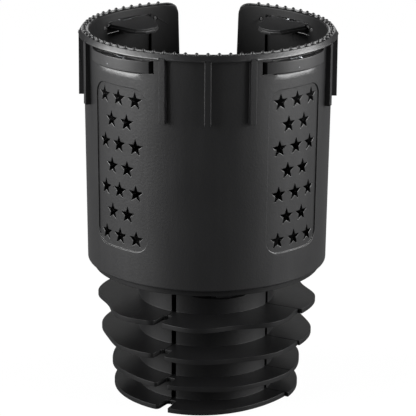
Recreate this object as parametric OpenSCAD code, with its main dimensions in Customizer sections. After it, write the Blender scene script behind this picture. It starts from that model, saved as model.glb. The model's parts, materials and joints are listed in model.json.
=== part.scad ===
// Car cup holder expander. A wide cup turns on a finned base, and a scroll plate
// under its floor drives the four jaws of the base outwards. Millimetres, +Z up,
// origin on the axis at the level of the feet, front towards -Y.

/* [Cup] */
// Depth of the cup from the rim down to its floor
cup_depth = 89.2; // [70:0.1:120]
// Outer radius of the cup at the foot of its wall
cup_r = 50.1; // [48:0.1:56]
// Thickness of the cup's wall
cup_wall = 2.4; // [2.2:0.1:3]
// Thickness of the cup's floor
floor_t = 2.6; // [2.4:0.1:4]
// Slope of the wall from upright, in degrees
draft = 0.78; // [0.2:0.02:1.2]
// Radius of the rounded bottom edge
edge_r = 0.8; // [0.5:0.1:4]
// Radius of the pivot under the floor
pivot_r = 9; // [7:0.1:11]

/* [Rim] */
// How far the rim's lower edge stands out from the wall
rim_out = 2; // [1:0.1:3]
// Height of the rim's outer face
rim_h = 2.7; // [2:0.1:4]
// How far the rim's top edge leans in from its lower edge
rim_lean = 1.1; // [0.4:0.1:1.5]
// Radius of the round pips on the rim
pip_r = 0.85; // [0.5:0.05:1.1]
// Height of the pips above the rim
pip_h = 1.05; // [0.6:0.05:1.4]
// Angle between two pips
pip_step = 5; // [4:1:10]
// Last pip on each side, as an angle from the front
pip_end = 155; // [120:5:155]

/* [Ribs] */
// Width of the ribs under the rim
rib_w = 2.5; // [1.5:0.1:4]
// Length of the ribs below the rim
rib_h = 25.6; // [10:0.1:40]

/* [Handle slot] */
// Width of the slot at the rim
slot_w = 25.8; // [16:0.1:30]
// Depth of the slot below the rim
slot_h = 66; // [30:0.5:75]
// Radius of the slot's rounded corners
slot_r = 5; // [2:0.1:7]
// How much each side of the slot leans in, in degrees
slot_lean = 1.4; // [0:0.1:3]

/* [Star panels] */
// Width of a panel, measured straight across
panel_w = 28.8; // [26:0.1:32]
// Height of a panel
panel_h = 68.3; // [66:0.1:72]
// Distance from the rim down to a panel
panel_drop = 16; // [15:0.1:20]
// Radius of a panel's corners
panel_r = 6; // [2:0.1:8]
// Depth of a panel below the wall's surface
panel_d = 0.5; // [0.2:0.05:0.9]
// Radius of a star, from its middle to a point
star_r = 3.55; // [2:0.05:4]
// Inner radius of a star as a share of its outer radius
star_waist = 0.4; // [0.3:0.02:0.6]
// Angle between two stars in a row
star_turn = 10; // [9:0.1:11]
// Height between two rows of stars
star_rise = 9.67; // [9:0.01:10]
// Number of rows of stars
star_rows = 7; // [1:1:7]

/* [Grips] */
// Height of the flap pins below the rim
pin_drop = 5.8; // [5.6:0.05:6.4]
// Radius of a flap pin
pin_r = 0.8; // [0.5:0.05:0.9]
// Radius of a flap's barrel
barrel_r = 1.7; // [1.6:0.05:1.8]
// Length of a flap from its pin to its tip
flap_l = 14.8; // [10:0.1:16]
// Width of a flap at the wall
flap_w = 24.2; // [24:0.1:25]
// Width of a flap at its shoulders
flap_mid_w = 13.6; // [8:0.1:16]
// Width of a flap's tip
flap_tip_w = 5.4; // [3:0.1:8]
// Thickness of a flap
flap_t = 2; // [1.6:0.1:2.2]
// Fall of a flap from level at rest, in degrees
flap_fall = 8; // [4:0.5:12]
// Length of a grip cover, straight across
bar_w = 33; // [31:0.1:34]
// Height of a grip cover
bar_h = 4.8; // [4.4:0.1:5]
// How far a grip cover stands out from the wall at its middle
bar_out = 2.8; // [2.6:0.1:3.4]
// Thickness of a grip cover's face
bar_t = 1.2; // [0.8:0.1:1.3]
// Radius of a grip cover's curve
bar_r = 32; // [31:1:45]

/* [Base plate] */
// Radius of the guide plate
plate_r = 47.5; // [45:0.1:50]
// Thickness of the guide plate
plate_t = 2.3; // [1.6:0.1:4]
// Open groove between the guide plate and the cup
groove = 0.4; // [0.3:0.05:1]
// Outer radius of the centre tube
tube_r = 16.5; // [15.6:0.1:17]
// Wall of the centre tube
tube_wall = 2; // [1.2:0.1:2.2]

/* [Jaws] */
// Turn of the first jaw from the front, in degrees
jaw_turn = 17; // [0:1:45]
// Outer radius of the jaws' wall
jaw_r = 28.6; // [28:0.1:30]
// Thickness of the jaws' wall
jaw_wall = 2.2; // [1.6:0.1:3]
// Open slot between two walls
jaw_gap = 2; // [1:0.1:3]
// Height from the top fin to the guide plate
jaw_head = 13.9; // [10:0.1:18]
// Radius of the curve along the top of each wall
arch_r = 70; // [50:1:90]
// Depth of that curve's middle below the guide plate
arch_d = 7.6; // [4:0.1:9.5]
// How far each jaw slides out
travel = 6; // [2:0.1:6]
// How far the cup turns to open the jaws, in degrees
cup_turn = 80; // [60:1:80]

/* [Fins] */
// Thickness of a fin
fin_t = 2; // [1.2:0.1:3]
// Radius of the lowest fin
fin_r_1 = 39.1; // [36:0.1:44]
// Radius of the second fin
fin_r_2 = 40; // [36:0.1:46]
// Radius of the third fin
fin_r_3 = 43.9; // [38:0.1:48]
// Radius of the top fin
fin_r_4 = 44.6; // [40:0.1:50]
// How much further the fins reach to the front and rear than to the sides
fin_reach = 1; // [0:0.1:2]
// Wave of the lowest fin's edge on the front and rear jaws
wave_1 = 1.5; // [0:0.1:2]
// Wave of the second fin's edge
wave_2 = -0.3; // [-1:0.1:1]
// Wave of the third fin's edge
wave_3 = 0.7; // [0:0.1:2]
// Wave of the top fin's edge
wave_4 = 1.6; // [0:0.1:2.5]
// Rise from the lowest fin to the second
rise_2 = 10.3; // [8:0.1:14]
// Rise from the second fin to the third
rise_3 = 13.6; // [8:0.1:16]
// Rise from the third fin to the top one
rise_4 = 14.2; // [8:0.1:16]
// Depth of the notch where two jaws meet, in the three lower fins
notch_d = 7.3; // [2:0.1:9]
// Depth of the notch in the top fin
notch_top_d = 10.5; // [2:0.1:12]

/* [Scroll and slide blocks] */
// Space from the scroll plate's edge to the cup's outer face
scroll_side = 6.1; // [5:0.1:9]
// Thickness of the scroll plate
scroll_t = 3.2; // [2.4:0.1:5]
// Thickness of a slide block
block_t = 2.9; // [2.4:0.1:4]
// Width of a slide block
block_w = 14; // [10:0.1:16]
// Width of a jaw's neck, which the guide plate's slots hold
neck_w = 7.4; // [6:0.1:9]
// Radius of the cam pins
cam_r = 2.4; // [1.5:0.1:3]

/* [Fasteners and pad] */
// Radius of the small screws' shanks
screw_r = 1.45; // [1.2:0.05:1.5]
// Radius of the small screws' heads
screw_head_r = 2.7; // [2:0.1:2.8]
// Radius of the pivot screw's shank
pivot_screw_r = 1.95; // [1.5:0.05:2.5]
// Space around the pivot washer, inside the centre tube
washer_side = 1.5; // [1:0.1:3]
// Thickness of the pivot washer
washer_t = 1.6; // [1:0.1:2.5]
// Thickness of the floor pad
pad_t = 1.5; // [0.8:0.1:3]
// Thickness of the bottom cap
cap_t = 3; // [2:0.1:5]
// Height of the cap's spigot inside the centre tube
cap_spigot = 3; // [2:0.1:5]

/* [Hidden] */
$fn = 96;
// Clearances: sliding faces, a running pin, a drop-in piece and a thread
slide_gap = 0.3;
run_gap = 0.06;
fit_gap = 0.05;

// Heights, from the feet up
fin_top_1 = fin_t;
fin_top_2 = fin_top_1 + rise_2;
fin_top_3 = fin_top_2 + rise_3;
fin_top_4 = fin_top_3 + rise_4;
jaw_top = fin_top_4 + jaw_head;
plate_z = jaw_top + slide_gap;
plate_top = plate_z + plate_t;
skirt_z = plate_top + groove;
block_z = plate_top + slide_gap;
block_top = block_z + block_t;
scroll_z = block_top + slide_gap;
floor_z = scroll_z + scroll_t;
floor_top = floor_z + floor_t;
rim_top = floor_top + cup_depth;
rim_z = rim_top - rim_h;

// The cup's wall
function wall_r(z) = cup_r + (z - skirt_z) * tan(draft);
rim_r = wall_r(rim_z) + rim_out;
rim_in = wall_r(rim_top) - cup_wall;
scroll_r = cup_r - scroll_side;
cavity_r = scroll_r + 0.5;
fillet = 2.5;
pip_ring = (rim_in + rim_r - rim_lean) / 2 + 0.4;

// The grips, drawn at the front and turned to their places
GRIP_TURNS = [-45, 45, -135, 135];
PANEL_TURNS = [-45, 45];
GRIP_NAMES = ["front_left", "front_right", "rear_left", "rear_right"];
pin_z = rim_top - pin_drop;
pin_y = wall_r(pin_z) - 2.3;
bar_top = pin_z + barrel_r + slide_gap;
bar_z = bar_top - bar_h;
bar_face = wall_r(pin_z) + bar_out;
pocket_r = wall_r(pin_z) - 1.3;
recess_r = wall_r(pin_z) - 1.4;
window_w = flap_w + 1;
window_z = bar_z - 0.6;
window_top = bar_top + 0.1;
sill_z = bar_z - 2.1;
sill_r = wall_r(bar_z) - 0.7;
lug_w = 1.7;
lip_r = pocket_r + 0.4;
lip_top = bar_z + 0.6;
lug_x = flap_w / 2 - 1.4;
barrel_x = lug_x - slide_gap;
spring_w = 5.8;
spring_x = spring_w / 2 + slide_gap;
peg_x = bar_w / 2 - 1.8;
peg_r = 0.8;
peg_l = 2.4;
foot_w = 3.8;

// The jaws
JAW_NAMES = ["front", "right", "rear", "left"];
fin_tops = [fin_top_1, fin_top_2, fin_top_3, fin_top_4];
fin_radii = [fin_r_1, fin_r_2, fin_r_3, fin_r_4];
fin_waves = [wave_1, wave_2, wave_3, wave_4];
notch_depths = [notch_d, notch_d, notch_d, notch_top_d];
notch_turns = [5.2, 5.2, 5.2, 3.5];
lobes = 8;
lobe_turn = 22.5;
end_lobes = 6;
low_lobes = 3;
low_peak = 32;
low_shift = 0.4;
fin_step = 1.25;
seam = 0.2;
notch_in = 2;
corner = 2;
wall_turn = 45 - asin(jaw_gap / 2 / jaw_r);
neck_y = jaw_r - jaw_wall;
neck_l = 7.5;
block_l = 13.6;
block_y = neck_y - neck_l;
cam_y = block_y + block_l - cam_r - 2.1;
screw_y = neck_y - neck_l / 2;
screw_hole_h = 10;
jaw_thread_h = 9;
cap_r = neck_y - slide_gap - 0.1;
washer_r = tube_r - tube_wall - washer_side;
screw_ring = pivot_r + 8;
screw_turn = 45;
tongue_h = 6;
tongue_z = 8;
tongue_y = tube_r - tube_wall - travel + 0.5;
head_t = 1.6;
spiral_step = 4;

// Ring around the axis from r_in to r_out
module ring(r_in, r_out, z0, z1) {
    translate([0, 0, z0])
        difference() {
            cylinder(r = r_out, h = z1 - z0);
            translate([0, 0, -1]) cylinder(r = r_in, h = z1 - z0 + 2);
        }
}

// Upright screw with its head down, its point up
module screw_up(r, head, head_h, length) {
    cylinder(r = head, h = head_h, $fn = 32);
    cylinder(r = r, h = length, $fn = 32);
}

// Cup: wall, rim, floor and pivot in one turned section
module cup_section() {
    polygon(concat(
        [[0, plate_z - slide_gap], [pivot_r, plate_z - slide_gap], [pivot_r, floor_z],
         [cavity_r, floor_z], [cavity_r, skirt_z]],
        [for (a = [-90:15:0]) [cup_r - edge_r + edge_r * cos(a), skirt_z + edge_r + edge_r * sin(a)]],
        [[wall_r(rim_z), rim_z], [rim_r, rim_z + 0.3], [rim_r, rim_z + 0.8],
         [rim_r - rim_lean, rim_top], [rim_in + 0.5, rim_top], [rim_in, rim_top - 0.5]],
        [for (a = [0:-15:-90])
            [wall_r(floor_top) - cup_wall - fillet + fillet * cos(a), floor_top + fillet + fillet * sin(a)]],
        [[0, floor_top]]));
}

module ribs() {
    for (side = [0:90:270], turn = [-20, 0, 20])
        if (side + turn != 180)
            rotate([0, 0, side + turn])
                translate([-rib_w / 2, -(wall_r(rim_z) + rim_out), rim_z - rib_h])
                    cube([rib_w, rim_out + 1, rib_h + 1]);
}

module pips() {
    for (a = [-pip_end:pip_step:pip_end])
        rotate([0, 0, a]) translate([0, -pip_ring, rim_top - 0.2]) {
            cylinder(r1 = pip_r, r2 = 0.85 * pip_r, h = 0.2 + pip_h / 2, $fn = 10);
            translate([0, 0, 0.2 + pip_h / 2]) cylinder(r1 = 0.85 * pip_r, r2 = 0.35 * pip_r, h = pip_h / 2, $fn = 10);
        }
}

module star() {
    polygon([for (i = [0:9]) let (r = i % 2 == 0 ? star_r : star_r * star_waist, a = 90 + 36 * i)
        [r * cos(a), r * sin(a)]]);
}

// Everything that a panel takes out of the wall: the recess and its stars
module panel_cut() {
    z0 = rim_top - panel_drop - panel_h;
    skin = panel_d;
    intersection() {
        rotate_extrude()
            polygon([[wall_r(z0) - skin, z0], [cup_r + 12, z0], [cup_r + 12, z0 + panel_h],
                [wall_r(z0 + panel_h) - skin, z0 + panel_h]]);
        for (x = [0, 1])
            translate([0, -cup_r + 10, z0]) rotate([90, 0, 0]) linear_extrude(20)
                if (x == 0) {
                    translate([-panel_w / 2 + panel_r, 0]) square([panel_w - 2 * panel_r, panel_h]);
                    translate([-panel_w / 2, panel_r]) square([panel_w, panel_h - 2 * panel_r]);
                } else {
                    for (sx = [-1, 1], sz = [panel_r, panel_h - panel_r])
                        translate([sx * (panel_w / 2 - panel_r), sz]) circle(r = panel_r, $fn = 32);
                }
    }
    for (row = [0:star_rows - 1]) {
        odd = row % 2;
        for (i = [0:2 - odd])
            rotate([0, 0, (i - 1 + odd / 2) * star_turn])
                translate([0, -cup_r + 6, z0 + panel_h / 2 + ((star_rows - 1) / 2 - row) * star_rise])
                    rotate([90, 0, 0]) linear_extrude(10) star();
    }
}

// Slot for a mug's handle, open at the rim, with its corners rounded outwards there
module slot_cut() {
    half = slot_w / 2;
    foot = half - slot_h * tan(slot_lean);
    side = concat(
        [for (a = [-90:15:0]) [foot - slot_r + slot_r * cos(a), rim_top - slot_h + slot_r + slot_r * sin(a)]],
        [for (a = [180:-15:90]) [half + slot_r + slot_r * cos(a), rim_top - slot_r + slot_r * sin(a)]],
        [[half + slot_r, rim_top + 3]]);
    translate([0, cup_r + 10, 0]) rotate([90, 0, 0]) linear_extrude(cup_r - 10)
        polygon(concat(side, [for (i = [len(side) - 1:-1:0]) [-side[i][0], side[i][1]]]));
}

// Openings of one grip: the seat of its cover, the sloped sill, the window and
// the shallow recess inside that takes the folded flap
module grip_cut() {
    intersection() {
        ring(pocket_r, cup_r + 12, bar_z - 0.1, rim_z);
        translate([-bar_w / 2 - 1.2, -cup_r - 12, 0]) cube([bar_w + 2.4, cup_r, rim_top]);
    }
    intersection() {
        rotate_extrude()
            polygon([[sill_r, bar_z], [wall_r(sill_z), sill_z], [cup_r + 12, sill_z],
                [cup_r + 12, bar_z], [sill_r, bar_z + 0.1]]);
        translate([-window_w / 2 + 1.5, -cup_r - 12, 0]) cube([window_w - 3, cup_r, rim_top]);
    }
    translate([-window_w / 2, -cup_r - 12, window_z]) cube([window_w, 24, window_top - window_z]);
    intersection() {
        translate([0, 0, pin_z - flap_l - 1]) cylinder(r = recess_r, h = window_z - pin_z + flap_l + 1.1);
        translate([-window_w / 2, -cup_r - 12, 0]) cube([window_w, 24, rim_top]);
    }
    for (s = [-1, 1])
        translate([s * peg_x, -pin_y, pin_z]) rotate([90, 0, 0])
            cylinder(r = peg_r + fit_gap, h = 12, center = true, $fn = 24);
}

module cup() {
    color("dimgray")
        difference() {
            union() {
                rotate_extrude() cup_section();
                ribs();
                pips();
            }
            for (t = PANEL_TURNS) rotate([0, 0, t]) panel_cut();
            for (t = GRIP_TURNS) rotate([0, 0, t]) grip_cut();
            slot_cut();
            translate([0, 0, plate_z - slide_gap - 1])
                cylinder(r = pivot_screw_r + fit_gap, h = floor_z - plate_z + slide_gap, $fn = 32);
            scroll_screw_places(floor_z - 0.5) cylinder(r = screw_r + fit_gap, h = floor_t, $fn = 24);
        }
}

module floor_pad() {
    color("black")
        translate([0, 0, floor_top])
            cylinder(r = wall_r(floor_top) - cup_wall - fillet - 0.2, h = pad_t);
}

// Flap with its barrel along X at the origin, its tip towards +Y
module flap_plate(z0, z1, inset) {
    root = 2.2;
    hip = 2.9;
    shoulder = flap_l - 2.4;
    translate([0, 0, z0]) linear_extrude(z1 - z0)
        polygon([[-barrel_x, 0], [-barrel_x, root], [-flap_w / 2 + inset, root],
            [-flap_w / 2 + inset, hip], [-flap_mid_w / 2 + inset, shoulder],
            [-flap_tip_w / 2, flap_l - inset], [flap_tip_w / 2, flap_l - inset],
            [flap_mid_w / 2 - inset, shoulder], [flap_w / 2 - inset, hip],
            [flap_w / 2 - inset, root], [barrel_x, root], [barrel_x, 0]]);
}

module grip_flap(turn) {
    color("dimgray")
        rotate([0, 0, turn]) translate([0, -pin_y, pin_z]) rotate([-flap_fall, 0, 0])
            difference() {
                union() {
                    flap_plate(barrel_r - flap_t / 2, barrel_r, 0.5);
                    flap_plate(barrel_r - flap_t, barrel_r - flap_t / 2, 0);
                    rotate([0, 90, 0]) cylinder(r = barrel_r, h = 2 * barrel_x, center = true, $fn = 32);
                }
                rotate([0, 90, 0]) cylinder(r = pin_r + fit_gap, h = 2 * flap_w, center = true, $fn = 32);
                rotate([0, 90, 0]) cylinder(r = barrel_r + slide_gap, h = 2 * spring_x, center = true, $fn = 32);
            }
}

module grip_pin(turn) {
    color("silver")
        rotate([0, 0, turn]) translate([0, -pin_y, pin_z]) rotate([0, 90, 0])
            cylinder(r = pin_r, h = 2 * (lug_x + lug_w), center = true, $fn = 32);
}

// Coil of the torsion spring around the pin
module grip_spring(turn) {
    color("silver")
        rotate([0, 0, turn]) translate([0, -pin_y, pin_z]) rotate([0, 90, 0])
            difference() {
                cylinder(r = barrel_r - 0.2, h = spring_w, center = true, $fn = 32);
                cylinder(r = pin_r + 0.2, h = spring_w + 2, center = true, $fn = 32);
            }
}

// Cover: a curved bar with two lugs for the pin, a foot with a peg at each end,
// and a lip inside that closes the window's lower edge
module grip_cover(turn) {
    color("dimgray")
        rotate([0, 0, turn])
            difference() {
                union() {
                    intersection() {
                        translate([0, -bar_face + bar_r, 0]) ring(bar_r - bar_t, bar_r, bar_z, bar_top);
                        translate([-bar_w / 2, -bar_face - 1, bar_z]) cube([bar_w, bar_r, bar_h]);
                    }
                    difference() {
                        intersection() {
                            union() {
                                translate([-window_w / 2 + slide_gap, -bar_face, window_z + fit_gap])
                                    cube([window_w - 2 * slide_gap, bar_face, lip_top - window_z - fit_gap]);
                                translate([-bar_w / 2 + 1, -bar_face, bar_z])
                                    cube([bar_w - 2, bar_face, lip_top - bar_z]);
                            }
                            translate([0, -bar_face + bar_r, 0]) cylinder(r = bar_r - bar_t / 2, h = rim_top);
                        }
                        cylinder(r = lip_r, h = rim_top);
                    }
                    for (s = [-1, 1]) {
                        intersection() {
                            translate([s * (bar_w - foot_w) / 2 - foot_w / 2, -bar_face, bar_z])
                                cube([foot_w, 12, bar_h]);
                            difference() {
                                translate([0, -bar_face + bar_r, 0]) cylinder(r = bar_r - bar_t / 2, h = rim_top);
                                cylinder(r = pocket_r, h = rim_top);
                            }
                        }
                        translate([s * (lug_x + lug_w / 2) - lug_w / 2, 0, 0])
                            intersection() {
                                union() {
                                    translate([0, -bar_face, pin_z - barrel_r])
                                        cube([lug_w, bar_face - pin_y, 2 * barrel_r]);
                                    translate([0, -pin_y, pin_z]) rotate([0, 90, 0])
                                        cylinder(r = barrel_r, h = lug_w, $fn = 32);
                                }
                                translate([-s * (lug_x + lug_w / 2) + lug_w / 2, -bar_face + bar_r, 0])
                                    cylinder(r = bar_r - bar_t / 2, h = rim_top);
                            }
                        translate([s * peg_x, -pin_y + peg_l, pin_z]) rotate([90, 0, 0])
                            cylinder(r = peg_r, h = peg_l, $fn = 24);
                    }
                }
                translate([0, -pin_y, pin_z]) rotate([0, 90, 0])
                    cylinder(r = pin_r + fit_gap, h = 2 * (lug_x + lug_w + fit_gap), center = true, $fn = 32);
            }
}

// Places of the four screws that hold the scroll plate
module scroll_screw_places(z) {
    for (a = [0:90:270]) rotate([0, 0, jaw_turn + screw_turn + a]) translate([0, -screw_ring, z]) children();
}

// One spiral slot: the cam pin's path as the cup turns, widened by the clearance
module spiral_cut() {
    half = (cam_r + slide_gap);
    lean = cos(atan(travel / (cup_turn * PI / 180) / (cam_y + travel / 2)));
    path = [for (b = [0:spiral_step:cup_turn]) [b, cam_y + travel * b / cup_turn]];
    function at(b, r) = [-r * sin(b), -r * cos(b)];
    linear_extrude(scroll_t + 2)
        polygon(concat([for (p = path) at(p[0], p[1] + half / lean)],
            [for (i = [len(path) - 1:-1:0]) at(path[i][0], path[i][1] - half / lean)]));
    for (p = [path[0], path[len(path) - 1]])
        translate(at(p[0], p[1])) cylinder(r = half, h = scroll_t + 2, $fn = 32);
}

module scroll_plate() {
    color("gray")
        difference() {
            ring(pivot_r + 0.2, scroll_r, scroll_z, floor_z);
            for (a = [0:90:270]) rotate([0, 0, jaw_turn + a]) translate([0, 0, scroll_z - 1]) spiral_cut();
            scroll_screw_places(scroll_z - 1) {
                cylinder(r = screw_r + fit_gap, h = scroll_t + 2, $fn = 24);
            }
            scroll_screw_places(scroll_z - 1) {
                cylinder(r = screw_head_r + fit_gap, h = head_t + 1, $fn = 24);
            }
        }
}

module scroll_screws() {
    color("silver")
        scroll_screw_places(scroll_z) screw_up(screw_r, screw_head_r, head_t, scroll_t + 2);
}

// Guide plate with its centre tube, four slots for the necks and four windows
module guide_plate() {
    inner = tube_r - tube_wall;
    color("dimgray")
        difference() {
            union() {
                ring(pivot_r + run_gap, plate_r, plate_z, plate_top);
                ring(inner, tube_r, cap_t, plate_z + 0.5);
            }
            for (a = [0:90:270]) rotate([0, 0, jaw_turn + a]) {
                translate([-neck_w / 2 - slide_gap, -(neck_y + travel + slide_gap), plate_z - 1])
                    cube([neck_w + 2 * slide_gap, neck_l + travel + 2 * slide_gap, plate_t + 2]);
                translate([-neck_w / 2 - slide_gap, -tube_r - 1, tongue_z - slide_gap])
                    cube([neck_w + 2 * slide_gap, 3 * tube_wall, tongue_h + 2 * slide_gap]);
            }
        }
}

module bottom_cap() {
    color("dimgray") {
        cylinder(r = cap_r, h = cap_t);
        cylinder(r = tube_r - tube_wall - fit_gap, h = cap_t + cap_spigot);
    }
}

module pivot_washer() {
    color("silver") ring(pivot_screw_r + 0.2, washer_r, plate_z - slide_gap - washer_t, plate_z - slide_gap);
}

module pivot_screw() {
    head_h = 2;
    hex_r = 1.6;
    hex_d = 1.2;
    z0 = plate_z - slide_gap - washer_t - head_h;
    color("silver")
        difference() {
            translate([0, 0, z0]) screw_up(pivot_screw_r, 2 * pivot_screw_r, head_h, floor_z - z0 - 2);
            translate([0, 0, z0 - 1]) cylinder(r = hex_r, h = hex_d + 1, $fn = 6);
        }
}

// Outline of one fin from seam to seam, its middle at the front. The notch end
// is cut back and the other end runs on to the seam. side is +1 where the notch
// lies on the right with the rounded corner, -1 where it lies on the left.
function fin_wave(index, side, a) =
    index == 0 ? (side < 0 ? wave_1 * (cos(low_lobes * (a - low_peak)) - low_shift) : 0)
    : side > 0 && a < -lobe_turn ? fin_waves[index] * (1 + cos(end_lobes * (a + lobe_turn))) / 2
    : fin_waves[index] * cos(lobes * (a - lobe_turn));
function fin_edge(index, side, turn, a) =
    fin_radii[index] + fin_wave(index, side, a) + fin_reach * pow(cos(turn + a), 2);
function at_turn(r, a) = [r * sin(a), -r * cos(a)];

module fin(index, side, turn) {
    lean = side * turn;
    r = fin_radii[index];
    deep = r - notch_depths[index];
    end = 45 - seam;
    cut = 45 - (side > 0 ? notch_in : notch_turns[index]);
    round_turn = side > 0 ? atan(corner / r) : 0;
    plain = [for (a = [-end:fin_step:cut - round_turn]) at_turn(fin_edge(index, side, lean, a), a)];
    rounded = side > 0
        ? [for (b = [30:30:90]) at_turn(fin_edge(index, side, lean, cut) - corner * (1 - cos(b)), cut - round_turn * (1 - sin(b)))]
        : [at_turn(fin_edge(index, side, lean, cut), cut)];
    inner = [at_turn(deep + 0.6, cut), at_turn(deep, cut + 0.6), at_turn(deep, end)];
    base = [for (a = [end:-end / 8:-end]) at_turn(jaw_r - 0.5, a)];
    translate([0, 0, fin_tops[index] - fin_t])
        scale([side, 1, 1])
            linear_extrude(fin_t) polygon(concat(plain, rounded, inner, base));
}

module jaw_shell(side, turn) {
    difference() {
        union() {
            for (i = [0:3]) fin(i, side, turn);
            rotate([0, 0, -90 - wall_turn]) rotate_extrude(angle = 2 * wall_turn)
                translate([neck_y, 0]) square([jaw_wall, jaw_top]);
        }
        translate([0, 0, jaw_top - arch_d + arch_r]) rotate([90, 0, 0]) cylinder(r = arch_r, h = 2 * jaw_r, $fn = 240);
    }
}

// Jaw, its middle at the front: shell, neck for the slide block and lower tongue
module jaw(index) {
    side = index % 2 == 0 ? -1 : 1;
    color("dimgray")
        rotate([0, 0, jaw_turn + 90 * index])
            difference() {
                union() {
                    jaw_shell(side, jaw_turn + 90 * index);
                    translate([-neck_w / 2, -neck_y - 0.3, fin_top_3]) cube([neck_w, neck_l + 0.3, jaw_top - fin_top_3 - arch_d - 0.3]);
                    translate([-neck_w / 2, -neck_y, fin_top_3]) cube([neck_w, neck_l, block_z - fin_top_3]);
                    translate([-neck_w / 2, -neck_y - 0.3, tongue_z])
                        cube([neck_w, neck_y + 0.3 - tongue_y, tongue_h]);
                }
                translate([0, -screw_y, block_z - screw_hole_h]) cylinder(r = screw_r + fit_gap, h = screw_hole_h + 1, $fn = 24);
            }
}

module slide_block(index) {
    color("gray")
        rotate([0, 0, jaw_turn + 90 * index])
            difference() {
                union() {
                    translate([-block_w / 2, -block_y - block_l, block_z]) cube([block_w, block_l, block_t]);
                    translate([0, -cam_y, block_top]) cylinder(r = cam_r, h = scroll_t - slide_gap, $fn = 32);
                }
                translate([0, -screw_y, block_z - 1]) cylinder(r = screw_r + fit_gap, h = block_t + 2, $fn = 24);
                translate([0, -screw_y, block_top - head_t]) cylinder(r = screw_head_r + fit_gap, h = head_t + 1, $fn = 24);
            }
}

module jaw_screw(index) {
    color("silver")
        rotate([0, 0, jaw_turn + 90 * index]) translate([0, -screw_y, block_top])
            rotate([180, 0, 0]) screw_up(screw_r, screw_head_r, head_t, block_t + jaw_thread_h);
}

cup();
floor_pad();
for (i = [0:3]) {
    grip_flap(GRIP_TURNS[i]);
    grip_cover(GRIP_TURNS[i]);
    grip_pin(GRIP_TURNS[i]);
    grip_spring(GRIP_TURNS[i]);
}
scroll_plate();
scroll_screws();
pivot_washer();
pivot_screw();
guide_plate();
bottom_cap();
for (i = [0:3]) {
    jaw(i);
    slide_block(i);
    jaw_screw(i);
}
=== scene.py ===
"""Car cup holder expander: a wide black cup that turns on a finned base."""

import json
import math

import bmesh
import bpy
from mathutils import Matrix, Vector

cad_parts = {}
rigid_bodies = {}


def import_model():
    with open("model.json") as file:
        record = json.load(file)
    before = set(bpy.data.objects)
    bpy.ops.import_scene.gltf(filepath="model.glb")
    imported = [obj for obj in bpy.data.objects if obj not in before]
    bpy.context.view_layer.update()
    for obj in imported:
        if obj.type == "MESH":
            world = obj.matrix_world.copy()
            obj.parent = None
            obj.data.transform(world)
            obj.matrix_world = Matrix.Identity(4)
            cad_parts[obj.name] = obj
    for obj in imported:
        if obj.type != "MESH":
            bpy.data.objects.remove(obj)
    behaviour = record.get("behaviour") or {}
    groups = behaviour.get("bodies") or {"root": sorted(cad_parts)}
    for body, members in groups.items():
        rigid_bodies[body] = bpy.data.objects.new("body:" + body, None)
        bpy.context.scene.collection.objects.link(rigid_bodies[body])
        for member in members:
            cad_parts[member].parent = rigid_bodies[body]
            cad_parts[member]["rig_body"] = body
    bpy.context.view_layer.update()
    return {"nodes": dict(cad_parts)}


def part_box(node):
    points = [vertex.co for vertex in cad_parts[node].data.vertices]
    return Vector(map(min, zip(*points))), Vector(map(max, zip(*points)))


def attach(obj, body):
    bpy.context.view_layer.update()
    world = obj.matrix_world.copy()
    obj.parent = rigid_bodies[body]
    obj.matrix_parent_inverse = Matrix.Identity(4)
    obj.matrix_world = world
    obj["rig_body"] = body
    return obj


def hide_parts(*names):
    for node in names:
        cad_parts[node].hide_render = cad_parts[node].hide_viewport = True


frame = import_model()
scene = bpy.context.scene
nodes = frame["nodes"]
MM = 0.001


# Guide plate. A round black plate with a centre tube, moulded in one piece. The cup turns on it,
# the four jaws slide in its slots, and its open groove shows as a dark line under the cup.

class Wire:
    """A node's output, so that the maths of a material or of repeated shapes reads as expressions."""

    def __init__(self, graph, socket):
        self.graph = graph
        self.socket = socket

    def maths(self, operation, other, swapped=False):
        pair = (other, self) if swapped else (self, other)
        return self.graph.node("ShaderNodeMath", {"operation": operation}, dict(enumerate(pair)))

    def __add__(self, other):
        return self.maths("ADD", other)

    def __radd__(self, other):
        return self.maths("ADD", other, True)

    def __sub__(self, other):
        return self.maths("SUBTRACT", other)

    def __rsub__(self, other):
        return self.maths("SUBTRACT", other, True)

    def __mul__(self, other):
        return self.maths("MULTIPLY", other)

    def __rmul__(self, other):
        return self.maths("MULTIPLY", other, True)


class Graph:
    """A node tree. Its node method takes a type, its settings, and values or wires by socket."""

    def __init__(self, tree):
        self.tree = tree

    def node(self, kind, settings, inputs, output=0):
        made = self.tree.nodes.new(kind)
        for key, value in settings.items():
            setattr(made, key, value)
        self.fill(made, inputs)
        return Wire(self, made.outputs[output])

    def fill(self, node, inputs):
        for key, value in inputs.items():
            if isinstance(value, Wire):
                self.tree.links.new(value.socket, node.inputs[key])
            else:
                node.inputs[key].default_value = value


class Finish(Graph):
    """A material's node tree around its main shader."""

    def __init__(self, name):
        self.data = bpy.data.materials.new(name)
        self.data.use_nodes = True
        super().__init__(self.data.node_tree)
        self.shader = self.tree.nodes["Principled BSDF"]
        self.place = self.node("ShaderNodeTexCoord", {}, {}, "Object")

    def noise(self, scale, detail=2.0, roughness=0.5, place=None):
        return self.node("ShaderNodeTexNoise", {}, {"Vector": place or self.place, "Scale": scale,
                                                    "Detail": detail, "Roughness": roughness})

    def stretched(self, x, y, z):
        return self.node("ShaderNodeMapping", {}, {"Vector": self.place, "Scale": (x, y, z)})

    def colours(self, factor, first, second):
        return self.node("ShaderNodeMix", {"data_type": "RGBA"},
                         {0: factor, 6: (*first, 1.0), 7: (*second, 1.0)}, 2)

    def bump(self, height, depth):
        return self.node("ShaderNodeBump", {}, {"Strength": 1.0, "Distance": depth, "Height": height})


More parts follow.
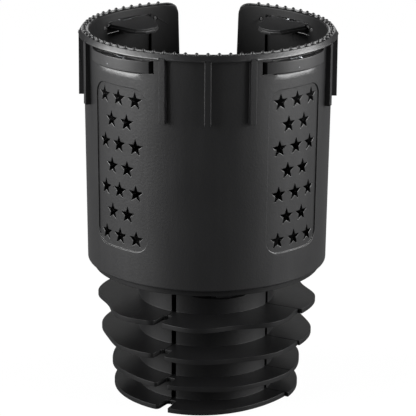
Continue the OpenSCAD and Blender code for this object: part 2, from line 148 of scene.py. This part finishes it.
def moulded_plastic(name, dark, light, roughness, grain_depth, grain_size=0.35 * MM, sheen=0.5):
    """Satin moulded plastic: fine spark-eroded grain, with a faint unevenness in colour and gloss."""
    finish = Finish(name)
    cloud = finish.noise(38.0, 3.0)
    flow = finish.noise(1.0, 2.0, 0.5, finish.stretched(260.0, 260.0, 22.0))
    grain = finish.noise(1 / grain_size, 2.0, 0.6)
    speck = finish.node("ShaderNodeTexVoronoi", {"feature": "F1"},
                        {"Vector": finish.place, "Scale": 0.6 / grain_size})
    finish.fill(finish.shader, {
        "Base Color": finish.colours(cloud * 0.5 + flow * 0.3 + grain * 0.2, dark, light),
        "Roughness": cloud * 0.08 + flow * 0.05 + grain * 0.05 + (roughness - 0.09),
        "Specular IOR Level": sheen,
        "Normal": finish.bump(grain * 0.7 + speck * 0.3, grain_depth),
    })
    return finish.data


def true_round(mesh, centre, reach):
    """Turns the shading of upright round faces about centre to their true direction, out to reach."""
    shading = [corner.vector.copy() for corner in mesh.corner_normals]
    for loop in mesh.loops:
        normal = shading[loop.index]
        outward = mesh.vertices[loop.vertex_index].co.xy - centre
        level = normal.xy
        if level.length < 0.05 or outward.length < 0.5 * MM or outward.length > reach:
            continue
        lean = level.normalized().dot(outward.normalized())
        if abs(lean) > math.cos(math.radians(3.2)):
            level = outward.normalized() * math.copysign(level.length, lean)
            shading[loop.index] = Vector((level.x, level.y, normal.z))
    mesh.normals_split_custom_set(shading)


def settled(piece):
    """Applies the modifiers of a piece to its mesh and removes them."""
    graph = bpy.context.evaluated_depsgraph_get()
    mesh = bpy.data.meshes.new_from_object(piece.evaluated_get(graph))
    piece.modifiers.clear()
    piece.data = mesh
    return piece


def joined_to(piece, node):
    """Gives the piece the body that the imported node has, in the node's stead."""
    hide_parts(node)
    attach(piece, nodes[node]["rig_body"])
    return piece


def rounded_piece(name, work, edge_radius, material, centre=(0, 0), reach=1.0, steps=3):
    """A mesh piece from an open bmesh, with its edges rounded and its shading set."""
    for face in work.faces:
        face.smooth = True
        face.material_index = 0
    mesh = bpy.data.meshes.new(name)
    work.to_mesh(mesh)
    work.free()
    mesh.materials.append(material)
    piece = bpy.data.objects.new(name, mesh)
    scene.collection.objects.link(piece)
    rounding = piece.modifiers.new("edge rounding", "BEVEL")
    rounding.limit_method = "ANGLE"
    rounding.angle_limit = math.radians(28)
    rounding.width = edge_radius
    rounding.segments = steps
    rounding.miter_outer = "MITER_ARC"
    rounding.use_clamp_overlap = False
    shading = piece.modifiers.new("shading", "WEIGHTED_NORMAL")
    shading.weight = 80
    settled(piece)
    true_round(piece.data, Vector(centre), reach)
    return piece


def packed_shape(node, merge=0.03 * MM):
    """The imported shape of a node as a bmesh, with its triangles joined into plain faces."""
    work = bmesh.new()
    work.from_mesh(nodes[node].data)
    bmesh.ops.remove_doubles(work, verts=work.verts, dist=2e-6)
    for distance in (merge, 0):
        bmesh.ops.dissolve_limit(work, angle_limit=math.radians(0.4), verts=work.verts, edges=work.edges,
                                 delimit=set())
        if distance > 0:
            bmesh.ops.remove_doubles(work, verts=work.verts, dist=distance)
    return work


def finished(node, edge_radius, material, slot, **shading):
    """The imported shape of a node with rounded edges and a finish."""
    piece = rounded_piece(node + "_finished", packed_shape(node), edge_radius, material, **shading)
    return joined_to(piece, node)


# The base's plastic is coloured darker than the cup's: painted shade for the shade under the cup and between
# the fins.
base_plastic_painted_shade = moulded_plastic("base's black plastic", (0.0025, 0.0025, 0.0027), (0.006, 0.006, 0.0063),
                               0.45, 0.03 * MM, 0.6 * MM, sheen=0.22)
finished("guide_plate", 0.15 * MM, base_plastic_painted_shade, "black_plastic")
finished("bottom_cap", 0.4 * MM, base_plastic_painted_shade, "black_plastic")

# Jaws. Four quarter shells with four thin fins each, whose edges are softly rounded.

CORE_REACH = 30 * MM
for place in ("front", "right", "rear", "left"):
    finished("jaw_" + place, 0.14 * MM, base_plastic_painted_shade, "black_plastic", reach=CORE_REACH)

# Cup. One black moulding with a flared rim, short ribs, two panels of star-shaped holes in front and
# a slot for a handle behind. The rim's pips are small domes on the line where the cup's blank pips
# end, so the blanks are cut off level with the rim first. The rim is polished; the inside is dull and
# coloured darker than the outside, which is painted shade.

PIP_COUNT = 63
PIP_STEP = math.radians(5)
PIP_RADIUS = 0.85 * MM
PIP_HEIGHT = 1.05 * MM
PIP_RING = 51.07 * MM
PIP_SUNK = 0.1 * MM
RIM_LAND = 0.05 * MM
INNER_REACH = 50.6 * MM
pip_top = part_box("cup")[1][2]
rim_top = pip_top - PIP_HEIGHT
shell = packed_shape("cup")
bmesh.ops.bisect_plane(shell, geom=shell.verts[:] + shell.edges[:] + shell.faces[:], dist=1e-7,
                       plane_co=(0, 0, rim_top + 0.02 * MM), plane_no=(0, 0, 1), clear_outer=True)
open_edges = [edge for edge in shell.edges if edge.is_boundary]
bmesh.ops.holes_fill(shell, edges=open_edges)
cup_plastic = moulded_plastic("cup's black plastic", (0.0035, 0.0035, 0.0038), (0.008, 0.008, 0.0085),
                              0.38, 0.045 * MM, 0.7 * MM)
rim_plastic = moulded_plastic("rim's polished plastic", (0.0035, 0.0035, 0.0038), (0.008, 0.008, 0.0085),
                              0.22, 0.02 * MM, 0.9 * MM)
cup = joined_to(rounded_piece("cup_finished", shell, 0.2 * MM, cup_plastic), "cup")
# The inside's plastic is coloured darker than the cup's outside: painted shade.
inner_plastic_painted_shade = moulded_plastic("cup's dull inner plastic", (0.0015, 0.0015, 0.0016),
                                (0.004, 0.004, 0.0042), 0.5, 0.03 * MM, 0.7 * MM, sheen=0.2)
cup.data.materials.append(rim_plastic)
cup.data.materials.append(inner_plastic_painted_shade)
# Faces at the top take the polished rim plastic; faces facing inwards take the inner plastic, whose darker
# colour is painted shade.
for face in cup.data.polygons:
    if face.center.z > rim_top - RIM_LAND:
        face.material_index = 1
    elif face.center.xy.length < INNER_REACH and face.normal.xy.dot(face.center.xy) < 0:
        face.material_index = 2


class Recipe(Graph):
    """A geometry node group with named inputs, for shapes that repeat."""

    def __init__(self, name, inputs):
        super().__init__(bpy.data.node_groups.new(name, "GeometryNodeTree"))
        self.values = {}
        self.tree.interface.new_socket("Geometry", in_out="INPUT", socket_type="NodeSocketGeometry")
        for key, value in inputs.items():
            kind = {int: "NodeSocketInt", float: "NodeSocketFloat", tuple: "NodeSocketVector"}[type(value)]
            self.values[key] = self.tree.interface.new_socket(key, in_out="INPUT", socket_type=kind)
            self.values[key].default_value = value
        self.tree.interface.new_socket("Geometry", in_out="OUTPUT", socket_type="NodeSocketGeometry")
        self.group_input = self.tree.nodes.new("NodeGroupInput")
        self.inputs = inputs

    def given(self, key):
        return Wire(self, self.group_input.outputs[key])

    def vector(self, x, y, z):
        return self.node("ShaderNodeCombineXYZ", {}, {0: x, 1: y, 2: z})

    def made(self, name, shape, material):
        """Realizes the shape, sets its material and makes a plain mesh object of it."""
        real = self.node("GeometryNodeRealizeInstances", {}, {0: shape})
        smooth = self.node("GeometryNodeSetShadeSmooth", {}, {0: real})
        coated = self.node("GeometryNodeSetMaterial", {}, {"Geometry": smooth, "Material": material})
        self.fill(self.tree.nodes.new("NodeGroupOutput"), {0: coated})
        piece = bpy.data.objects.new(name, bpy.data.meshes.new(name))
        scene.collection.objects.link(piece)
        modifier = piece.modifiers.new(name, "NODES")
        modifier.node_group = self.tree
        for key, value in self.inputs.items():
            modifier[self.values[key].identifier] = value
        return settled(piece)


pips = Recipe("rim pips", {
    "Count": PIP_COUNT, "Step": PIP_STEP, "Ring": PIP_RING, "Level": rim_top - PIP_SUNK,
    "Radius": PIP_RADIUS, "Height": PIP_HEIGHT + PIP_SUNK})
index = pips.node("GeometryNodeInputIndex", {}, {})
turn = (index - (PIP_COUNT - 1) / 2) * pips.given("Step")
spots = pips.node("GeometryNodePoints", {}, {
    "Count": pips.given("Count"),
    "Position": pips.vector(turn.maths("SINE", 0.0) * pips.given("Ring"),
                            turn.maths("COSINE", 0.0) * pips.given("Ring") * -1.0, pips.given("Level"))})
dome = pips.node("GeometryNodeMeshUVSphere", {}, {"Segments": 14, "Rings": 8, "Radius": 1.0})
domes = pips.node("GeometryNodeInstanceOnPoints", {}, {
    "Points": spots, "Instance": dome,
    "Scale": pips.vector(pips.given("Radius"), pips.given("Radius"), pips.given("Height"))})
# The pips' plastic is coloured darker than the rim's: painted shade.
pip_plastic_painted_shade = moulded_plastic("pips' dull plastic", (0.002, 0.002, 0.0022), (0.005, 0.005, 0.0053),
                              0.5, 0.01 * MM)
joined_to(pips.made("rim_pips", domes, pip_plastic_painted_shade), "cup")

# Grips. A curved cover closes each opening under the rim, and a wedge-shaped flap behind it turns on
# a steel pin against a small torsion spring.

COVER_CURVE = 22.157 * MM
GRIPS = {"front_left": -45, "front_right": 45, "rear_left": -135, "rear_right": 135}


def metal(name, colour, roughness, scratch):
    """Bright drawn or rolled metal, with fine marks along it and a little uneven gloss."""
    finish = Finish(name)
    marks = finish.noise(1.0, 3.0, 0.6, finish.stretched(9000.0, 1200.0, 1200.0))
    cloud = finish.noise(90.0, 2.0)
    finish.fill(finish.shader, {
        "Base Color": finish.colours(cloud * 0.6 + marks * 0.4, [0.75 * part for part in colour], colour),
        "Metallic": 1.0,
        "Roughness": marks * 0.12 + cloud * 0.08 + roughness,
        "Normal": finish.bump(marks, scratch),
    })
    return finish.data


zinc_steel = metal("zinc plated steel", (0.56, 0.57, 0.6), 0.26, 0.004 * MM)
spring_steel = metal("spring steel", (0.42, 0.43, 0.45), 0.2, 0.003 * MM)

WIRE_RADIUS = 0.24 * MM
COIL_RADIUS = 1.24 * MM
COIL_LENGTH = 5.3 * MM
COIL_TURNS = 9.5
LEG_LENGTH = 5.0 * MM
# The grips' plastic is coloured lighter than the cup's: painted light for the brighter light the covers and
# flaps catch.
grip_plastic_painted_light = moulded_plastic("grips' black plastic", (0.009, 0.009, 0.0093), (0.016, 0.016, 0.0165),
                               0.4, 0.03 * MM)
for place, turn in GRIPS.items():
    side = math.radians(turn)
    centre = (COVER_CURVE * math.sin(side), -COVER_CURVE * math.cos(side))
    finished("grip_cover_" + place, 0.2 * MM, grip_plastic_painted_light, "black_plastic", centre=centre)
    finished("grip_flap_" + place, 0.12 * MM, grip_plastic_painted_light, "black_plastic", reach=0.0)
    finished("flap_pin_" + place, 0.15 * MM, zinc_steel, "steel", reach=0.0)

    low, high = (Vector(corner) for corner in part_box("flap_spring_" + place))
    coil = Recipe("torsion spring " + place, {
        "Turns": COIL_TURNS, "Coil radius": COIL_RADIUS, "Length": COIL_LENGTH,
        "Wire radius": WIRE_RADIUS, "Leg": LEG_LENGTH})
    helix = coil.node("GeometryNodeCurveSpiral", {}, {
        "Resolution": 20, "Rotations": coil.given("Turns"), "Start Radius": coil.given("Coil radius"),
        "End Radius": coil.given("Coil radius"), "Height": coil.given("Length")})
    inner_leg = coil.node("GeometryNodeCurvePrimitiveLine", {}, {
        "Start": coil.vector(coil.given("Coil radius"), 0.0, 0.0),
        "End": coil.vector(coil.given("Coil radius"), coil.given("Leg") * -1.0, 0.0)})
    outer_leg = coil.node("GeometryNodeCurvePrimitiveLine", {}, {
        "Start": coil.vector(coil.given("Coil radius") * -1.0, 0.0, coil.given("Length")),
        "End": coil.vector(coil.given("Coil radius") * -1.0, coil.given("Leg") * -0.4, coil.given("Length"))})
    wires = coil.tree.nodes.new("GeometryNodeJoinGeometry")
    for part in (outer_leg, inner_leg, helix):
        coil.tree.links.new(part.socket, wires.inputs[0])
    section = coil.node("GeometryNodeCurvePrimitiveCircle", {}, {
        "Resolution": 8, "Radius": coil.given("Wire radius")})
    drawn = coil.node("GeometryNodeCurveToMesh", {}, {
        "Curve": Wire(coil, wires.outputs[0]), "Profile Curve": section, "Fill Caps": True})
    spring = coil.made("torsion_spring_" + place, drawn, spring_steel)
    middle = (low + high) / 2
    upright = Matrix.Rotation(math.radians(90), 4, "Y")
    spring.data.transform(Matrix.Translation(middle) @ Matrix.Rotation(side, 4, "Z") @ upright
                          @ Matrix.Translation((0, 0, -COIL_LENGTH / 2)))
    joined_to(spring, "flap_spring_" + place)

# Inside the cup: the soft mat on the floor, with low nubs that keep a bottle from turning.

PAD_RADIUS = 45.2 * MM
PAD_EDGE = 1.6 * MM
PAD_STEP = 0.4 * MM
GROOVE_RADII = (38 * MM, 26 * MM, 14 * MM)
NUB_HEIGHT = 0.45 * MM
pad_low, pad_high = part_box("floor_pad")


def turned(outline, steps=128):
    """A bmesh turned round the upright axis from (radius, height) points that start and end on it."""
    work = bmesh.new()
    rings = []
    for radius, height in outline:
        count = steps if radius > 0 else 1
        rings.append([work.verts.new((radius * math.sin(2 * math.pi * i / steps),
                                      -radius * math.cos(2 * math.pi * i / steps), height))
                      for i in range(count)])
    for lower, upper in zip(rings, rings[1:]):
        for i in range(steps):
            corners = [lower[i % len(lower)], lower[(i + 1) % len(lower)],
                       upper[(i + 1) % len(upper)], upper[i % len(upper)]]
            work.faces.new(list(dict.fromkeys(corners)))
    bmesh.ops.recalc_face_normals(work, faces=work.faces)
    return work


def soft_rubber(name):
    """Matt black rubber: a dull, slightly dusty surface with a fine open grain."""
    finish = Finish(name)
    dust = finish.noise(60.0, 4.0)
    grain = finish.noise(2200.0, 2.0, 0.6)
    finish.fill(finish.shader, {
        "Base Color": finish.colours(dust * 0.8 + grain * 0.2, (0.007, 0.007, 0.007), (0.014, 0.0138, 0.0135)),
        "Roughness": dust * 0.15 + 0.7,
        "Normal": finish.bump(grain, 0.03 * MM),
    })
    return finish.data


rubber = soft_rubber("soft rubber")
base = pad_low[2]
top = pad_high[2]
pad_outline = [(0, base), (PAD_RADIUS, base), (PAD_RADIUS, top), (PAD_RADIUS - PAD_EDGE, top)]
for groove in GROOVE_RADII:
    pad_outline += [(groove + 0.6 * MM, top - PAD_STEP), (groove + 0.5 * MM, top - 2 * PAD_STEP),
                    (groove - 0.5 * MM, top - 2 * PAD_STEP), (groove - 0.6 * MM, top - PAD_STEP)]
pad_outline.append((0, top - PAD_STEP))
mat = rounded_piece("floor_mat", turned(pad_outline), 0.12 * MM, rubber)
joined_to(mat, "floor_pad")

nubs = Recipe("mat nubs", {"Count": 150, "Spacing": 3.4 * MM, "Level": top - NUB_HEIGHT, "Radius": 0.9 * MM,
                           "Height": NUB_HEIGHT})
order = nubs.node("GeometryNodeInputIndex", {}, {}) + 2.0
golden = order * math.pi * (3 - math.sqrt(5))
away = order.maths("SQRT", 0.0) * nubs.given("Spacing")
seeds = nubs.node("GeometryNodePoints", {}, {
    "Count": nubs.given("Count"),
    "Position": nubs.vector(golden.maths("SINE", 0.0) * away, golden.maths("COSINE", 0.0) * away,
                            nubs.given("Level"))})
nub = nubs.node("GeometryNodeMeshUVSphere", {}, {"Segments": 10, "Rings": 6, "Radius": 1.0})
field = nubs.node("GeometryNodeInstanceOnPoints", {}, {
    "Points": seeds, "Instance": nub,
    "Scale": nubs.vector(nubs.given("Radius"), nubs.given("Radius"), nubs.given("Height"))})
joined_to(nubs.made("mat_nubs", field, rubber), "floor_pad")

# Under the cup: the grey scroll plate and slide blocks, and the steel screws and washer.

grey_nylon = moulded_plastic("grey nylon", (0.16, 0.16, 0.155), (0.22, 0.22, 0.21), 0.5, 0.015 * MM)
finished("scroll_plate", 0.25 * MM, grey_nylon, "grey_nylon")
for place in ("front", "right", "rear", "left"):
    finished("slide_block_" + place, 0.25 * MM, grey_nylon, "grey_nylon", reach=0.0)
    finished("jaw_screw_" + place, 0.15 * MM, zinc_steel, "steel", reach=0.0)
for node in ("scroll_screws", "pivot_screw", "pivot_washer"):
    finished(node, 0.15 * MM, zinc_steel, "steel", reach=0.0)

# Studio: a pale floor that shows white, tall soft boxes at the sides, and two low bright panels behind
# that shine off level faces towards the camera.

FLOOR_SHOWN_WHITE = 0.97
FLOOR_REACH = 3
FLOOR_LEVEL = -0.5 * MM
floor_corners = [(x * FLOOR_REACH, y * FLOOR_REACH, FLOOR_LEVEL)
                 for x, y in ((-1, -1), (1, -1), (1, 1), (-1, 1))]
floor_mesh = bpy.data.meshes.new("floor")
floor_mesh.from_pydata(floor_corners, [], [(0, 1, 2, 3)])
floor = bpy.data.objects.new("floor", floor_mesh)
scene.collection.objects.link(floor)
floor_finish = Finish("white floor")
ray = floor_finish.node("ShaderNodeLightPath", {}, {}, "Is Camera Ray")
shown_white = floor_finish.node("ShaderNodeEmission", {}, {"Color": (1, 1, 1, 1), "Strength": 1.0})
floor_finish.fill(floor_finish.shader, {
    "Base Color": floor_finish.colours(ray, (0.08, 0.08, 0.08), (0.9, 0.9, 0.9)), "Roughness": 0.9})
floor_mix = floor_finish.node("ShaderNodeMixShader", {}, {
    0: ray * FLOOR_SHOWN_WHITE, 1: Wire(floor_finish, floor_finish.shader.outputs[0]), 2: shown_white})
floor_finish.fill(floor_finish.tree.nodes["Material Output"], {"Surface": floor_mix})
floor_mesh.materials.append(floor_finish.data)

world = bpy.data.worlds.new("studio")
scene.world = world
world.use_nodes = True
sky = Graph(world.node_tree)
room = sky.node("ShaderNodeBackground", {}, {"Color": (0.012, 0.012, 0.012, 1)})
white = sky.node("ShaderNodeBackground", {}, {"Color": (1, 1, 1, 1)})
seen = sky.node("ShaderNodeLightPath", {}, {}, "Is Camera Ray")
mixed = sky.node("ShaderNodeMixShader", {}, {0: seen, 1: room, 2: white})
sky.fill(sky.tree.nodes["World Output"], {"Surface": mixed})


def soft_box(name, azimuth, distance, height, width, tall, power, target=0.08):
    light = bpy.data.lights.new(name, "AREA")
    light.shape = "RECTANGLE"
    light.size = width
    light.size_y = tall
    light.energy = power
    lamp = bpy.data.objects.new(name, light)
    scene.collection.objects.link(lamp)
    turn = math.radians(azimuth)
    lamp.location = (distance * math.sin(turn), -distance * math.cos(turn), height)
    lamp.rotation_euler = (Vector((0, 0, target)) - lamp.location).to_track_quat("-Z", "Y").to_euler()
    lamp.visible_camera = False


soft_box("left soft box", -77, 1.2, 0.45, 1.2, 0.7, 48)
soft_box("right soft box", 82, 1.2, 0.45, 1.2, 0.7, 44)
soft_box("rear wall left", 166, 1.3, 0.42, 0.54, 0.24, 0.7)
soft_box("rear wall right", 194, 1.3, 0.42, 0.54, 0.24, 0.7)
soft_box("top soft box", 180, 0.3, 1.4, 0.8, 0.8, 1.5)

# Camera of the photograph: a long lens, a little above the rim.

IMAGE = 416
FOCAL = 2467.556
PRINCIPAL_X = 207.035
camera_data = bpy.data.cameras.new("camera")
camera_data.sensor_width = 36.0
camera_data.lens = 36.0 * FOCAL / IMAGE
camera_data.shift_x = (IMAGE / 2 - PRINCIPAL_X) / IMAGE
camera_data.clip_start = 0.05
camera_data.clip_end = 20
camera = bpy.data.objects.new("camera", camera_data)
scene.collection.objects.link(camera)
camera_place = Vector((0, -0.994205, 0.374316))
look = (Vector((0, 0, 0.077512)) - camera_place).to_track_quat("-Z", "Y")
roll = Matrix.Rotation(0.00703, 4, "Z")
camera.matrix_world = Matrix.Translation(camera_place) @ look.to_matrix().to_4x4() @ roll
scene.camera = camera

scene.view_settings.view_transform = "Standard"
